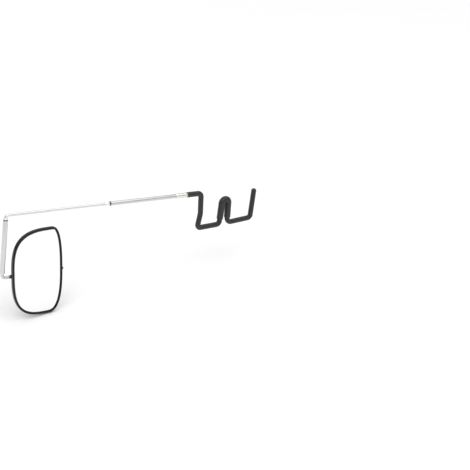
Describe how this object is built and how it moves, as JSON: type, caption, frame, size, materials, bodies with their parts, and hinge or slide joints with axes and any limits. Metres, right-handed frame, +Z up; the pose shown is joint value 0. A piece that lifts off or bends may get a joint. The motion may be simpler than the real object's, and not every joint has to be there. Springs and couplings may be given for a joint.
{
  "type": "clip-on spectacle mirror",
  "caption": "Small rear-view mirror on a swivelling tube and rod arm, with a sprung wire clip that grips a spectacle temple.",
  "frame": {"origin": "midway between the two legs of the clip's gripping loop, where the spectacle temple passes through", "axes": "+X to the wearer's right, +Y forwards along the temple, +Z up; the arm runs towards -X and the glass faces -Y"},
  "size_m": [0.1676, 0.0068, 0.0598],
  "materials": {
    "spring_wire": "drawn spring steel wire",
    "vinyl_sleeve": "satin black soft vinyl tubing",
    "vinyl_grip": "satin black soft vinyl tubing",
    "ferrule_metal": "bright swaged stainless steel",
    "insert_brass": "turned brass",
    "tube_metal": "drawn stainless steel tube",
    "bush_nylon": "natural nylon",
    "ring_rubber": "dark grey nitrile rubber",
    "rod_metal": "drawn stainless steel rod",
    "washer_brass": "pressed brass",
    "collar_metal": "bright turned stainless steel",
    "cap_vinyl": "satin black vinyl cap",
    "frame_plastic": "black moulded ABS",
    "mirror_glass": "back-silvered glass",
    "pad_foam": "thin double-sided foam tape",
    "back_plastic": "black moulded ABS, fine grain",
    "liner_nylon": "black nylon"
  },
  "bodies": {
    "clip": {"clip_wire": "spring_wire", "clip_sleeve": "vinyl_sleeve", "loop_grip": "vinyl_grip", "clip_ferrule": "ferrule_metal", "wire_insert": "insert_brass", "arm_tube": "tube_metal", "arm_bush": "bush_nylon", "arm_friction_ring": "ring_rubber"},
    "rod": {"swivel_rod": "rod_metal", "arm_thrust_washer": "washer_brass", "arm_collar": "collar_metal", "hanger_collar": "collar_metal", "hanger_thrust_washer": "washer_brass"},
    "hanger": {"hanger_tube": "tube_metal", "hanger_bush": "bush_nylon", "hanger_friction_ring": "ring_rubber", "rod_insert": "insert_brass", "mirror_rod": "rod_metal", "rod_end_cap": "cap_vinyl"},
    "mirror": {"mirror_frame": "frame_plastic", "mirror_glass": "mirror_glass", "mirror_pad": "pad_foam", "mirror_back": "back_plastic", "pivot_liner": "liner_nylon"}
  },
  "joints": [
    {"name": "arm_swivel", "type": "hinge", "parent": "clip", "child": "rod", "pos_m": [-0.07798, 0, 0.02399], "axis": [-0.9957, 0, 0.0924], "continuous": true},
    {"name": "hanger_swivel", "type": "hinge", "parent": "rod", "child": "hanger", "pos_m": [-0.13783, 0, 0.02954], "axis": [0.1357, 0, 0.9907], "continuous": true},
    {"name": "mirror_flip", "type": "hinge", "parent": "hanger", "child": "mirror", "pos_m": [-0.13712, 0, -0.00505], "axis": [0.9971, 0, -0.0767], "continuous": true}
  ]
}
